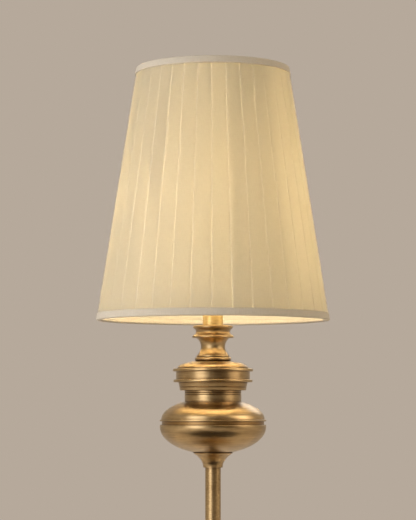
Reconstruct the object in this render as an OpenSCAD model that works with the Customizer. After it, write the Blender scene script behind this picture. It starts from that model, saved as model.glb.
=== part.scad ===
// Table lamp with a weighted round foot, a slim stem, a turned brass urn and a
// knife-pleated empire shade carried by a harp. Millimetres, +Z up, with the
// origin at the centre of the foot's underside. The harp lies in the XZ plane,
// the switch key points to -Y and the cord leaves the foot at +Y. Every brass
// piece is threaded on one hollow rod and clamped between two nuts.

/* [Foot] */
// Diameter of the foot
base_d = 160; // [140:1:200]
// Height of the upright rim of the foot cover
rim_h = 13.5; // [13:0.5:18]
// Rise of the domed top of the foot cover above its rim
crown_h = 9; // [7:0.5:14]
// Thickness of the felt under the foot
felt_t = 1.5; // [1:0.1:3]
// Radius of the hole that the mains cord goes through
cord_hole_r = 3; // [2.5:0.1:3.5]
// Height of the turned collar that holds the stem
collar_h = 22; // [18:1:30]

/* [Stem] */
// Length of stem that shows between foot collar and urn
stem_len = 148; // [60:1:260]
// Diameter of the stem
stem_d = 16.6; // [15:0.2:18]
// Wall of the stem
stem_wall = 1.2; // [0.8:0.1:1.6]
// Depth that the stem goes into the pieces at its ends
stem_plug = 6; // [4:0.5:8]
// Outside diameter of the threaded rod
rod_d = 10; // [8:0.5:12]
// Bore of the threaded rod
rod_bore_d = 7; // [5:0.5:7.5]

/* [Urn] */
// Wall of the spun brass shells
shell_t = 1.2; // [0.8:0.1:1.6]
// Height of the flare between stem and bowl
flare_h = 14.9; // [10:0.5:20]
// Thickness of the ring under the bowl
flare_ring_t = 1; // [0.8:0.1:2]
// Largest diameter of the bowl
bowl_d = 113; // [94:1:136]
// Height of the lower bowl
lower_bowl_h = 29.3; // [22:0.5:40]
// Height of the recessed ring in the seam of the bowl
seam_h = 3.6; // [2:0.2:6]
// Height of the upper bowl
upper_bowl_h = 20.8; // [16:0.5:28]
// Diameter of the plain band above the bowl
neck_band_d = 60.4; // [56:0.2:64]
// Height of the plain band
neck_band_h = 12; // [10:0.5:18]
// Top diameter of the tapered step ring
step_ring_d = 73.8; // [70:0.2:76]
// Height of the step ring
step_ring_h = 8.7; // [6:0.1:12]
// Diameter of the drum between its two flanges
drum_d = 78.6; // [76:0.2:90]
// Height of the drum
drum_h = 14.3; // [12:0.1:20]
// Diameter of the domed cap on the drum
cap_d = 75.8; // [74:0.2:77]
// Height of the domed cap
cap_h = 8.3; // [6:0.1:12]
// Height of the waisted spool on the cap
spool_h = 24.5; // [20:0.5:34]
// Diameter of the spool's waist
waist_d = 25.8; // [20:0.2:30]
// Diameter of the cup that holds the candle tube
cup_d = 44; // [40:0.5:50]
// Height of that cup
cup_h = 13.1; // [12.5:0.1:16]
// Diameter of the candle tube
candle_d = 22; // [18:0.5:28]
// Length of candle tube above the cup
candle_len = 40.5; // [30:0.5:60]

/* [Shade] */
// Diameter of the shade at its bottom edge
shade_bottom_d = 250; // [220:1:300]
// Diameter of the shade at its top edge
shade_top_d = 165; // [150:1:200]
// Height of the shade
shade_h = 272; // [250:1:330]
// Height of the shade's bottom edge above the cup
shade_gap = 5.5; // [0:0.5:20]
// Depth of the spider's hub below the top edge
spider_drop = 26; // [24:1:40]
// Height of the tape round each edge
tape_h = 8; // [6:0.5:14]
// Thickness of the tape
tape_t = 0.8; // [0.4:0.1:1.2]
// Thickness of the pleated fabric
fabric_t = 1.6; // [1:0.1:3]
// Thickness of the stiff lining
liner_t = 0.8; // [0.5:0.1:1.2]
// Diameter of the wire rings and spider arms
ring_wire_d = 3; // [2.4:0.1:4]

/* [Harp] */
// Distance between the saddle's two upright arms
saddle_span = 58; // [54:1:66]
// Thickness of the saddle's strip
saddle_t = 1.6; // [1.2:0.1:2]
// Width of the saddle's strip
saddle_w = 14; // [12:0.5:18]
// Diameter of the harp's wire
harp_wire_d = 3.5; // [2.8:0.1:4.2]
// Angle at which the harp's sides lean out
harp_lean = 15; // [10:1:18]
// Diameter of the post that the finial screws on to
post_d = 6.2; // [5.8:0.1:6.6]
// Diameter of the finial's ball
finial_d = 16; // [14:0.5:18]

/* [Socket and bulb] */
// Height of the socket from its neck to its mouth
socket_h = 60; // [56:1:66]
// Room round the screw shell inside the socket
socket_room = 0.6; // [0.4:0.1:1.5]
// Diameter of the bulb's screw cap over its crests
bulb_cap_d = 26.2; // [22:0.1:32]
// Diameter of the bulb's glass
bulb_d = 60; // [45:1:64]
// Length of the glass above the screw cap
glass_len = 78; // [70:1:84]
// Diameter of the switch shaft
switch_shaft_d = 4; // [3.2:0.1:5]

/* [Fits] */
// Gap between pieces that are pushed or glued together
slip_gap = 0.1; // [0.06:0.02:0.14]
// Radial clearance of a shaft that turns or slides in its bore
run_gap = 0.08; // [0.04:0.01:0.1]
// Gap between neighbours that move apart
loose_gap = 0.3; // [0.3:0.05:0.5]
// Thin gap under a piece that rests on another and lifts off
rest_gap = 0.05; // [0.02:0.01:0.08]

/* [Hidden] */
$fn = 96;
cut_past = 1;
point_gap = 0.01;

// Radii
base_r = base_d / 2;
stem_r = stem_d / 2;
stem_hole_r = stem_r + slip_gap;
rod_r = rod_d / 2;
rod_hole_r = rod_r + slip_gap;
bowl_r = bowl_d / 2;
neck_band_r = neck_band_d / 2;
step_ring_r = step_ring_d / 2;
drum_r = drum_d / 2;
cap_r = cap_d / 2;
waist_r = waist_d / 2;
cup_r = cup_d / 2;
candle_r = candle_d / 2;
harp_wire_r = harp_wire_d / 2;
ring_wire_r = ring_wire_d / 2;
post_r = post_d / 2;
shaft_r = switch_shaft_d / 2;
bulb_cap_r = bulb_cap_d / 2;
bulb_r = bulb_d / 2;

// Foot
rim_z = felt_t + rim_h;
foot_z = rim_z + crown_h;
felt_inset = 0.5;
shoulder_in = 5;
crown_r = 26;
bush_wall = 1.2;
bush_r = cord_hole_r + bush_wall;
bush_z = felt_t + rim_h / 2;
bush_flange = 1.2;
bush_flange_t = 1.5;
bush_seat = 0.25;
weight_r = base_r - shell_t - bush_seat - bush_flange_t - 1;
weight_z = rim_z - shell_t - 0.8;
boss_r = 18;
boss_z = foot_z - shell_t;
nut_h = 5;
nut_across = rod_d + 7;
washer_t = 1.5;
washer_r = rod_r + 10;
recess_r = washer_r + 5;
recess_z = felt_t + 10;
weight_edge = 8;
weight_rise = 4;
channel_room = 1;
channel_z = bush_z + cord_hole_r + channel_room;
bore_reach = 8;
nut_z = recess_z - washer_t - nut_h;
rod_z = nut_z - 1.5;
collar_r = 21;
collar_bead_h = 2.8;
collar_lip = 2.2;
collar_step = 0.4;
collar_land = 2;
flare_power = 2.2;
collar_z = foot_z + collar_h;

// Heights of the urn's pieces, each resting on the one below
flare_z = collar_z + stem_len;
flare_ring_z = flare_z + flare_h;
flare_foot_r = stem_r + 2.1;
flare_top_r = 20.6;
flare_ring_r = flare_top_r + 0.5;
bowl_z = flare_ring_z + flare_ring_t;
bowl_foot_r = flare_top_r - 1.1;
bowl_flange = 6;
seam_z = bowl_z + lower_bowl_h;
seam_ring_r = bowl_r - 2.1;
seam_ring_in = 5.5;
bowl_lip_h = 2.2;
upper_z = seam_z + seam_h;
upper_lip_r = bowl_r + 0.2;
upper_lip_h = 1.8;
upper_bowl_r = bowl_r - 1.5;
upper_seat_r = neck_band_r + 0.5;
band_grooves = [2.4, 4.4];
neck_z = upper_z + upper_bowl_h;
step_z = neck_z + neck_band_h;
step_foot_r = step_ring_r - 1.8;
step_groove = 0.4;
drum_z = step_z + step_ring_h;
drum_flange_h = 2.8;
lower_flange_r = drum_r + 2.8;
upper_flange_r = drum_r + 3.4;
plate_t = 1.5;
ring_wall = 2;
cap_z = drum_z + drum_h;
cap_edge_h = 0.6;
cap_fullness = 0.885;
spool_z = cap_z + cap_h;
spool_foot_r = waist_r + 6.5;
spool_foot_h = 3.8;
spool_bead_r = waist_r + 4.7;
spool_bead_h = 2.5;
spool_top_r = waist_r + 4.6;
spool_waist_h = 14.6;
spool_power = 2.4;
turned_step = 0.4;
turned_land = 0.9;
cup_z = spool_z + spool_h;
cup_waist_r = cup_r - 3.9;
cup_waist_h = 6.4;
cup_rim_r = cup_r - 0.8;
cup_floor = 5;
cup_dish = 3;
cup_flange_h = 2.2;
cup_rim_h = 2.4;
cup_rim_w = 2.4;
cup_dish_in = 3.6;
cup_top_z = cup_z + cup_h;
candle_wall = 1;
candle_z = cup_z + cup_floor;
candle_top_z = cup_top_z + candle_len;

// Saddle, lock nut and harp
tube_cap_t = 2;
tube_cap_plug = 4;
saddle_z = candle_top_z + tube_cap_t;
saddle_half = saddle_span / 2;
saddle_bend = 4;
arm_h = 9;
ferrule_z = saddle_z + arm_h;
ferrule_h = 14;
ferrule_r = harp_wire_r + 2.05;
ferrule_waist_r = harp_wire_r + 1.45;
ferrule_travel = 12;
lap_h = 12;
lap_gap = 0.1;
lap_root = 0.5;
shoulder_h = 4;
bead_proud = 0.05;
ferrule_rim_h = 1.8;
ferrule_step = 0.4;
lock_nut_h = 3;
lock_nut_across = rod_d + 4;
lock_z = saddle_z + saddle_t;
socket_z = lock_z + lock_nut_h;

// Shade: layers are counted inwards from its outermost cone
shade_z = cup_top_z + shade_gap;
shade_top_z = shade_z + shade_h;
fabric_in = tape_t + slip_gap;
liner_in = fabric_in + fabric_t + slip_gap;
ring_in = liner_in + liner_t + slip_gap + ring_wire_r * 1.02;
tape_leg_in = ring_in + ring_wire_r * 1.02 + slip_gap;
tape_leg_h = 6;
edge_in = tape_t + slip_gap;
bottom_ring_z = shade_z + edge_in + ring_wire_r;
top_ring_z = shade_top_z - edge_in - ring_wire_r;
hub_z = shade_top_z - spider_drop;
hub_r = 13;
hub_t = 2.5;
arm_bend_r = 46;
arm_angles = [30, 150, 270];

// Harp path: upright leg, outward bend, leaning side, long bow, tight crown
stud_flange_t = 1.6;
stud_flange_r = 9;
stud_play = 0.2;
stud_head_r = 5;
stud_head_t = 1.8;
post_h = 7.5;
finial_foot_r = 8;
finial_foot_h = 2;
finial_step = 0.6;
finial_neck_h = 4.6;
finial_neck_angle = 50;
finial_bore_past = 1.5;
eye_half = harp_wire_r + 0.15;
eye_r = 9;
harp_top_z = hub_z - rest_gap - stud_flange_t - stud_play - eye_half;
leg_top_z = ferrule_z + ferrule_h + ferrule_travel + 2;
foot_bend = 30;
crown_bend = 28;
crown_turn = 55;
eye_entry = 6;
dx = eye_entry - saddle_half - foot_bend * (1 - cos(harp_lean)) + crown_bend * cos(crown_turn);
dz = harp_top_z - leg_top_z - foot_bend * sin(harp_lean) - crown_bend * (1 - sin(crown_turn));
turn_share = 1 - cos(harp_lean + crown_turn);
sine_sum = sin(harp_lean) + sin(crown_turn);
cosine_gap = cos(harp_lean) - cos(crown_turn);
side_len = (dx * sine_sum + dz * cosine_gap) / turn_share;
bow_r = (dz * sin(harp_lean) - dx * cos(harp_lean)) / turn_share;
bend_end = [saddle_half + foot_bend * (1 - cos(harp_lean)), leg_top_z + foot_bend * sin(harp_lean)];
side_end = bend_end + side_len * [sin(harp_lean), cos(harp_lean)];
bow_centre = side_end - bow_r * [cos(harp_lean), -sin(harp_lean)];
bow_end = bow_centre + bow_r * [cos(crown_turn), sin(crown_turn)];
crown_centre = bow_end - crown_bend * [cos(crown_turn), sin(crown_turn)];

// Socket, built outwards from the bulb's screw cap
screw_wall = 0.8;
screw_shell_r = bulb_cap_r + loose_gap + slip_gap + screw_wall;
sleeve_wall = 0.6;
core_r = screw_shell_r + socket_room - slip_gap;
sleeve_r = core_r + slip_gap + sleeve_wall;
socket_wall = 0.5;
socket_r = sleeve_r + slip_gap + socket_wall;
neck_r = rod_r + 3.2;
neck_h = 9;
rod_short = 0.6;
set_screw_z = socket_z + 4;
set_screw_r = 1.5;
set_screw_head_r = 2.6;
set_screw_head_t = 1.8;
skirt_r = socket_r + slip_gap + 1;
skirt_wall = 1;
skirt_z = socket_z + neck_h + 8.5;
skirt_h = 5.5;
socket_top_z = socket_z + socket_h;
mouth_bead = 0.9;
mouth_h = 3;
mouth_step = 0.8;
terminal_z = skirt_z + 8.5;
terminal_pocket = 8;
terminal_r = 2.4;
terminal_t = 2;
screw_floor_r = 8;
sleeve_z = skirt_z + 0.5;
core_top_z = socket_top_z - 22;
screw_top_z = socket_top_z - 2;
tab_r = 4.5;
tab_t = 1.3;
switch_z = socket_z + 30;
shaft_root = 3;
shaft_end = socket_r + 7;
key_start = socket_r + 3.5;
key_len = 13;
key_r = 7;
key_neck_r = 4.5;
key_neck_len = 4;
key_t = 4.5;
key_round = 9;
key_press = 0.02;

// Bulb
bulb_z = core_top_z + tab_t + loose_gap;
pin_t = 0.8;
insulator_h = 2.8;
thread_z = bulb_z + pin_t + insulator_h;
thread_h = 18.4;
thread_pitch = 3.6;
thread_depth = 0.5;
bulb_collar_h = 4;
glass_z = thread_z + thread_h + bulb_collar_h;
glass_wall = 0.8;
glass_neck_r = bulb_cap_r + 0.3;
globe_z = glass_z + glass_len - bulb_r;
glass_bend = 40;
neck_lead = 2.4;
globe_start = glass_bend - 3;
mount_h = 24;
mount_r = 3.5;
mount_foot_h = 9;
filament_foot = 1.5;
filament_reach = 9;
filament_rise = 20;
support_r = 0.4;
filament_r = 0.7;
thread_steps = 40;

// ---- Outline helpers: points are [radius, height] ----

function unit(v) = v / norm(v);
function wrapped(a) = a > 180 ? a - 360 : a < -180 ? a + 360 : a;
function reversed(points) = [for (i = [len(points) - 1:-1:0]) points[i]];

// Elliptical arc round (cx, cz) from angle a0 to angle a1
function arc(cx, cz, rx, rz, a0, a1, steps = 24) =
    [for (i = [0:steps]) let (a = a0 + (a1 - a0) * i / steps) [cx + rx * cos(a), cz + rz * sin(a)]];

// Curve that leaves (r0, z0) upright and flares out to (r1, z1)
function trumpet(r0, z0, r1, z1, power, steps = 20) =
    [for (i = [0:steps]) let (t = i / steps) [r0 + (r1 - r0) * pow(t, power), z0 + (z1 - z0) * t]];

// Cubic curve between a and d, steered by b and c
function bezier(a, b, c, d, steps = 20) =
    [for (i = [0:steps]) let (t = i / steps, s = 1 - t)
        s * s * s * a + 3 * s * s * t * b + 3 * s * t * t * c + t * t * t * d];

// The points of one corner, which is rounded if the point has a third value
function corner(a, b, c, steps = 6) = len(b) < 3 ? [b] :
    let (p = [b.x, b.y],
         u = unit([a.x, a.y] - p),
         v = unit([c.x, c.y] - p),
         half = acos(u * v) / 2,
         centre = p + unit(u + v) * b[2] / sin(half),
         from = p + u * b[2] / tan(half) - centre,
         to = p + v * b[2] / tan(half) - centre,
         start = atan2(from.y, from.x),
         turn = wrapped(atan2(to.y, to.x) - start))
    [for (i = [0:steps]) centre + b[2] * [cos(start + turn * i / steps), sin(start + turn * i / steps)]];

// A closed outline with the corners that carry a radius rounded
function rounded(points) = let (n = len(points))
    [for (i = [0:n - 1]) each corner(points[(i + n - 1) % n], points[i], points[(i + 1) % n])];

// A V-shaped turned groove in a wall of radius r
function groove(r, z, width = 0.9, depth = 0.5) = [[r, z - width / 2], [r - depth, z], [r, z + width / 2]];

module turned(points) rotate_extrude() polygon(rounded(points));

// A tube with its axis on Z
module tube(outer, inner, z0, z1) turned([[inner, z0], [outer, z0], [outer, z1], [inner, z1]]);

// Places its children with their own +Z along -Y or +Y at a height
module towards_front(z) translate([0, 0, z]) rotate([90, 0, 0]) children();
module towards_back(z) translate([0, 0, z]) rotate([-90, 0, 0]) children();

// ---- Foot ----

module felt_pad() color([0.16, 0.2, 0.17]) cylinder(r = base_r - felt_inset, h = felt_t);

module base_weight() color([0.28, 0.28, 0.29]) difference() {
    turned([
        [0, felt_t], [weight_r, felt_t, 1], [weight_r, weight_z, 2],
        [weight_r - weight_edge, weight_z], [boss_r, weight_z + weight_rise], [boss_r, boss_z], [0, boss_z]
    ]);
    translate([0, 0, felt_t - cut_past]) cylinder(r = recess_r, h = recess_z - felt_t + cut_past);
    cylinder(r = rod_hole_r, h = foot_z);
    translate([-cord_hole_r - channel_room, 0, felt_t - cut_past])
        cube([2 * (cord_hole_r + channel_room), base_r, channel_z - felt_t + cut_past]);
}

module base_cover() color([0.72, 0.55, 0.28]) difference() {
    turned(concat(
        [[base_r, felt_t], [base_r, rim_z, 2]],
        arc(crown_r, rim_z, base_r - shoulder_in - crown_r, crown_h, 0, 90),
        [[rod_hole_r, foot_z], [rod_hole_r, foot_z - shell_t]],
        arc(crown_r, rim_z, base_r - shoulder_in - crown_r - shell_t, crown_h - shell_t, 90, 0),
        [[base_r - shoulder_in - shell_t, rim_z - shell_t],
         [base_r - shell_t, rim_z - shell_t, 0.8], [base_r - shell_t, felt_t]]
    ));
    towards_back(bush_z) translate([0, 0, base_r - bore_reach])
        cylinder(r = bush_r + slip_gap, h = 2 * bore_reach);
}

// The grommet's waist fills the hole in the cover, with a flange on each side
module cord_bush() color([0.07, 0.07, 0.07]) {
    inner_z = base_r - shell_t - bush_seat;
    outer_z = base_r + rest_gap;
    flange_r = bush_r + bush_flange;
    inner_flange_r = flange_r - 0.2;
    towards_back(bush_z) turned([
        [cord_hole_r, inner_z - bush_flange_t], [inner_flange_r, inner_z - bush_flange_t, 0.5],
        [inner_flange_r, inner_z], [bush_r, inner_z], [bush_r, outer_z],
        [flange_r, outer_z], [flange_r, outer_z + bush_flange_t, 0.6],
        [cord_hole_r, outer_z + bush_flange_t]
    ]);
}

module base_washer() color("silver") tube(washer_r, rod_hole_r, recess_z - washer_t, recess_z);

module hex_nut(z, across, height) difference() {
    translate([0, 0, z]) cylinder(d = across / cos(30), h = height, $fn = 6);
    translate([0, 0, z - cut_past]) cylinder(r = rod_r + run_gap, h = height + 2 * cut_past);
}

module base_nut() color("silver") hex_nut(nut_z, nut_across, nut_h);

module foot_collar() color([0.74, 0.57, 0.3]) turned(concat(
    [[rod_hole_r, foot_z], [collar_r, foot_z], [collar_r, foot_z + collar_bead_h, 1.2]],
    reversed(trumpet(flare_foot_r, collar_z - collar_land, collar_r - collar_lip,
                     foot_z + collar_bead_h + collar_step, flare_power)),
    [[flare_foot_r, collar_z, 0.6], [stem_hole_r, collar_z],
     [stem_hole_r, collar_z - stem_plug], [rod_hole_r, collar_z - stem_plug]]
));

// ---- Stem ----

module stem_tube() color([0.74, 0.57, 0.3])
    tube(stem_r, stem_r - stem_wall, collar_z - stem_plug, flare_z + stem_plug);

module threaded_rod() color("goldenrod") tube(rod_r, rod_bore_d / 2, rod_z, socket_z + neck_h - rod_short);

// ---- Urn ----

module flare() color([0.74, 0.57, 0.3]) turned(concat(
    [[stem_hole_r, flare_z]],
    trumpet(flare_foot_r, flare_z, flare_top_r, flare_ring_z, flare_power),
    [[rod_hole_r, flare_ring_z], [rod_hole_r, flare_z + stem_plug], [stem_hole_r, flare_z + stem_plug]]
));

module flare_ring() color([0.62, 0.46, 0.22]) turned([
    [rod_hole_r, flare_ring_z], [flare_ring_r, flare_ring_z, 0.4],
    [flare_ring_r, bowl_z, 0.4], [rod_hole_r, bowl_z]
]);

module lower_bowl() color([0.7, 0.53, 0.27]) {
    lip_z = seam_z - bowl_lip_h;
    depth = (lip_z - bowl_z) / sqrt(1 - pow(bowl_foot_r / bowl_r, 2));
    foot_angle = acos(bowl_foot_r / bowl_r);
    inner_angle = asin((lip_z - bowl_z - shell_t) / (depth - shell_t));
    turned(concat(
        [[rod_hole_r, bowl_z]],
        arc(0, lip_z, bowl_r, depth, -foot_angle, 0, 32),
        [[bowl_r, seam_z, 0.9], [bowl_r - bowl_flange, seam_z], [bowl_r - bowl_flange, seam_z - shell_t],
         [bowl_r - shell_t, seam_z - shell_t]],
        arc(0, lip_z, bowl_r - shell_t, depth - shell_t, 0, -inner_angle, 32),
        [[rod_hole_r, bowl_z + shell_t]]
    ));
}

module bowl_ring() color([0.55, 0.4, 0.19]) tube(seam_ring_r, bowl_r - seam_ring_in, seam_z, upper_z);

module upper_bowl() color([0.7, 0.53, 0.27]) {
    lip_z = upper_z + upper_lip_h;
    depth = (neck_z - lip_z) / sqrt(1 - pow(upper_seat_r / upper_bowl_r, 2));
    top_angle = acos(upper_seat_r / upper_bowl_r);
    inner_angle = asin((neck_z - shell_t - lip_z) / (depth - shell_t));
    turned(concat(
        [[bowl_r - bowl_flange, upper_z], [upper_lip_r, upper_z, 0.6], [upper_lip_r, lip_z, 0.6]],
        arc(0, lip_z, upper_bowl_r, depth, 0, top_angle, 32),
        [[rod_hole_r, neck_z], [rod_hole_r, neck_z - shell_t]],
        arc(0, lip_z, upper_bowl_r - shell_t, depth - shell_t, inner_angle, 0, 32),
        [[upper_bowl_r - shell_t, upper_z + shell_t], [bowl_r - bowl_flange, upper_z + shell_t]]
    ));
}

module neck_band() color([0.7, 0.53, 0.27]) turned(concat(
    [[neck_band_r - ring_wall, neck_z], [neck_band_r, neck_z, 0.3]],
    groove(neck_band_r, step_z - band_grooves[1]),
    groove(neck_band_r, step_z - band_grooves[0]),
    [[neck_band_r, step_z, 0.3], [neck_band_r - ring_wall, step_z]]
));

module step_ring() color([0.62, 0.46, 0.22]) turned(concat(
    [[rod_hole_r, step_z], [step_foot_r, step_z, 0.5]],
    groove(step_foot_r + (step_ring_r - step_foot_r) * step_groove, step_z + step_ring_h * step_groove),
    [[step_ring_r, drum_z, 0.5], [step_ring_r - ring_wall, drum_z],
     [step_foot_r - ring_wall, step_z + plate_t], [rod_hole_r, step_z + plate_t]]
));

module drum_band() color([0.74, 0.57, 0.3]) turned([
    [rod_hole_r, drum_z], [lower_flange_r, drum_z, 0.8], [lower_flange_r, drum_z + drum_flange_h, 0.8],
    [drum_r, drum_z + drum_flange_h, 0.3], [drum_r, cap_z - drum_flange_h, 0.3],
    [upper_flange_r, cap_z - drum_flange_h, 0.8], [upper_flange_r, cap_z, 0.8],
    [cap_r - ring_wall, cap_z], [cap_r - ring_wall, drum_z + plate_t], [rod_hole_r, drum_z + plate_t]
]);

module dome_cap() color([0.7, 0.53, 0.27]) {
    edge_z = cap_z + cap_edge_h;
    depth = (spool_z - edge_z) / cap_fullness;
    top_angle = asin(cap_fullness);
    inner_angle = asin((spool_z - shell_t - edge_z) / (depth - shell_t));
    turned(concat(
        [[cap_r - shell_t, cap_z], [cap_r, cap_z]],
        arc(0, edge_z, cap_r, depth, 0, top_angle),
        [[rod_hole_r, spool_z], [rod_hole_r, spool_z - shell_t]],
        arc(0, edge_z, cap_r - shell_t, depth - shell_t, inner_angle, 0)
    ));
}

module neck_spool() color([0.74, 0.57, 0.3]) {
    bead_z = spool_z + spool_foot_h;
    curve_z = bead_z + spool_bead_h;
    waist_z = spool_z + spool_waist_h;
    turned(concat(
        [[rod_hole_r, spool_z], [spool_foot_r, spool_z, 1.7], [spool_foot_r, bead_z, 1.7],
         [spool_bead_r - turned_land, bead_z], [spool_bead_r, bead_z + turned_step, 0.5],
         [spool_bead_r, curve_z - turned_step, 0.7]],
        reversed(trumpet(waist_r, waist_z, spool_bead_r - turned_land, curve_z, 2)),
        trumpet(waist_r, waist_z + point_gap, spool_top_r, cup_z, spool_power),
        [[rod_hole_r, cup_z]]
    ));
}

module candle_cup() color([0.74, 0.57, 0.3]) {
    flange_z = cup_z + cup_flange_h;
    waist_z = cup_z + cup_waist_h;
    turned(concat(
        [[rod_hole_r, cup_z], [cup_r, cup_z, 0.9], [cup_r, flange_z, 0.9]],
        reversed(trumpet(cup_waist_r, waist_z, cup_r - turned_land, flange_z + turned_step, 2)),
        trumpet(cup_waist_r, waist_z + point_gap, cup_rim_r, cup_top_z - cup_rim_h, 2),
        [[cup_rim_r, cup_top_z, 1.1], [cup_rim_r - cup_rim_w, cup_top_z, 0.6],
         [cup_rim_r - cup_dish_in, cup_top_z - cup_dish, 0.8], [candle_r + slip_gap, cup_top_z - cup_dish],
         [candle_r + slip_gap, candle_z], [rod_hole_r, candle_z]]
    ));
}

module candle_tube() color([0.74, 0.57, 0.3]) tube(candle_r, candle_r - candle_wall, candle_z, candle_top_z);

module tube_cap() color([0.74, 0.57, 0.3]) {
    plug_r = candle_r - candle_wall - slip_gap;
    turned([
        [rod_hole_r, candle_top_z - tube_cap_plug], [plug_r, candle_top_z - tube_cap_plug],
        [plug_r, candle_top_z], [candle_r, candle_top_z], [candle_r, saddle_z, 0.5], [rod_hole_r, saddle_z]
    ]);
}

// ---- Saddle and harp ----

// The saddle is a bent strip. Each arm ends in a shoulder and a half-round
// tongue, which laps with a half-round end of the harp inside a ferrule.
module harp_saddle() color([0.78, 0.65, 0.4]) difference() {
    outer_x = saddle_half + saddle_t / 2;
    inner_x = saddle_half - saddle_t / 2;
    strip_top = ferrule_z - shoulder_h / 2;
    union() {
        rotate([90, 0, 0]) linear_extrude(height = saddle_w, center = true) polygon(rounded([
            [-outer_x, strip_top], [-outer_x, saddle_z, saddle_bend], [outer_x, saddle_z, saddle_bend],
            [outer_x, strip_top], [inner_x, strip_top], [inner_x, lock_z, saddle_bend - saddle_t],
            [-inner_x, lock_z, saddle_bend - saddle_t], [-inner_x, strip_top]
        ]));
        for (side = [-1, 1]) translate([side * saddle_half, 0, 0]) {
            translate([0, 0, ferrule_z - shoulder_h]) cylinder(r = ferrule_waist_r, h = shoulder_h);
            half_round(-1, ferrule_z - lap_root, ferrule_z + lap_h);
        }
    }
    cylinder(r = rod_hole_r, h = socket_z);
}

// Half of a wire's section, on the +Y or the -Y side of the lap
module half_round(side, z0, z1) intersection() {
    block = 2 * harp_wire_r;
    translate([0, 0, z0]) cylinder(r = harp_wire_r, h = z1 - z0);
    translate([-block, side > 0 ? lap_gap / 2 : -block - lap_gap / 2, z0]) cube([2 * block, block, z1 - z0]);
}

module lock_nut() color("silver") hex_nut(lock_z, lock_nut_across, lock_nut_h);

// A bent length of wire in the XZ plane, from angle a0 to angle a1 round a centre
module wire_bend(centre, radius, a0, a1) translate([centre.x, 0, centre.y]) rotate([90, 0, 0])
    rotate([0, 0, a0]) rotate_extrude(angle = a1 - a0) translate([radius, 0]) circle(r = harp_wire_r);

// A bead hides each joint between two lengths of wire
module wire_joint(place) translate([place.x, 0, place.y]) sphere(r = harp_wire_r + bead_proud);

module harp_side() {
    full_z = ferrule_z + lap_h + lap_root;
    for (place = [[saddle_half, leg_top_z], bend_end, side_end, bow_end]) wire_joint(place);
    translate([saddle_half, 0, 0]) {
        half_round(1, ferrule_z + loose_gap, full_z);
        translate([0, 0, full_z]) cylinder(r = harp_wire_r, h = leg_top_z - full_z);
    }
    wire_bend([saddle_half + foot_bend, leg_top_z], foot_bend, 180 - harp_lean, 180);
    translate([bend_end.x, 0, bend_end.y]) rotate([0, harp_lean, 0]) cylinder(r = harp_wire_r, h = side_len);
    wire_bend(bow_centre, bow_r, -harp_lean, crown_turn);
    wire_bend(crown_centre, crown_bend, crown_turn, 90);
}

module harp() color([0.78, 0.65, 0.4]) difference() {
    union() {
        harp_side();
        mirror([1, 0, 0]) harp_side();
        translate([0, 0, harp_top_z - eye_half]) cylinder(r = eye_r, h = 2 * eye_half);
    }
    translate([0, 0, harp_top_z - eye_r]) cylinder(r = post_r + run_gap, h = 2 * eye_r);
}

module ferrule(side) color([0.8, 0.67, 0.42]) translate([side * saddle_half, 0, 0]) {
    z0 = ferrule_z + rest_gap;
    z1 = z0 + ferrule_h;
    bore_r = harp_wire_r + run_gap;
    rim_0 = z0 + ferrule_rim_h;
    rim_1 = z1 - ferrule_rim_h;
    turned([
        [bore_r, z0], [ferrule_r, z0, 0.4], [ferrule_r, rim_0, 0.4], [ferrule_waist_r, rim_0 + ferrule_step],
        [ferrule_waist_r, rim_1 - ferrule_step], [ferrule_r, rim_1, 0.4], [ferrule_r, z1, 0.4], [bore_r, z1]
    ]);
}

module ferrule_left() ferrule(-1);
module ferrule_right() ferrule(1);

// The stud turns in the harp's eye. Its flange carries the shade's hub.
module harp_stud() color([0.8, 0.67, 0.42]) {
    head_z = harp_top_z - eye_half - stud_play;
    flange_z = harp_top_z + eye_half + stud_play;
    turned([
        [0, head_z - stud_head_t], [stud_head_r, head_z - stud_head_t, 0.6], [stud_head_r, head_z],
        [post_r, head_z], [post_r, flange_z], [stud_flange_r, flange_z, 0.4],
        [stud_flange_r, flange_z + stud_flange_t, 0.4], [post_r, flange_z + stud_flange_t],
        [post_r, hub_z + hub_t + post_h, 0.6], [0, hub_z + hub_t + post_h]
    ]);
}

// ---- Socket ----

module socket_cap() color([0.8, 0.67, 0.42]) difference() {
    turned(concat(
        [[rod_r + run_gap, socket_z], [neck_r, socket_z, 0.5]],
        arc(neck_r, skirt_z, skirt_r - neck_r, skirt_z - socket_z - neck_h, -90, 0),
        [[skirt_r, skirt_z + skirt_h, 0.4], [skirt_r - skirt_wall, skirt_z + skirt_h]],
        arc(neck_r, skirt_z, skirt_r - neck_r - skirt_wall, skirt_z - socket_z - neck_h - skirt_wall, 0, -90),
        [[rod_r + run_gap, socket_z + neck_h + skirt_wall]]
    ));
    towards_back(set_screw_z) cylinder(r = set_screw_r + slip_gap, h = 2 * neck_r);
}

// Set screw that locks the socket to the rod
module cap_screw() color("silver") towards_back(set_screw_z) turned([
    [0, rod_r + slip_gap], [set_screw_r, rod_r + slip_gap], [set_screw_r, neck_r + slip_gap],
    [set_screw_head_r, neck_r + slip_gap], [set_screw_head_r, neck_r + set_screw_head_t, 0.4],
    [0, neck_r + set_screw_head_t]
]);

// The radial hole that the switch shaft passes through
module shaft_hole(r) towards_front(switch_z) translate([0, 0, shaft_root]) cylinder(r = r, h = 2 * socket_r);

module socket_shell() color([0.8, 0.67, 0.42]) difference() {
    turned([
        [socket_r - socket_wall, skirt_z], [socket_r, skirt_z], [socket_r, socket_top_z - mouth_h],
        [socket_r + mouth_bead, socket_top_z - mouth_h + mouth_step, 0.4],
        [socket_r + mouth_bead, socket_top_z, 0.6],
        [socket_r - socket_wall, socket_top_z]
    ]);
    shaft_hole(shaft_r + loose_gap);
}

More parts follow.
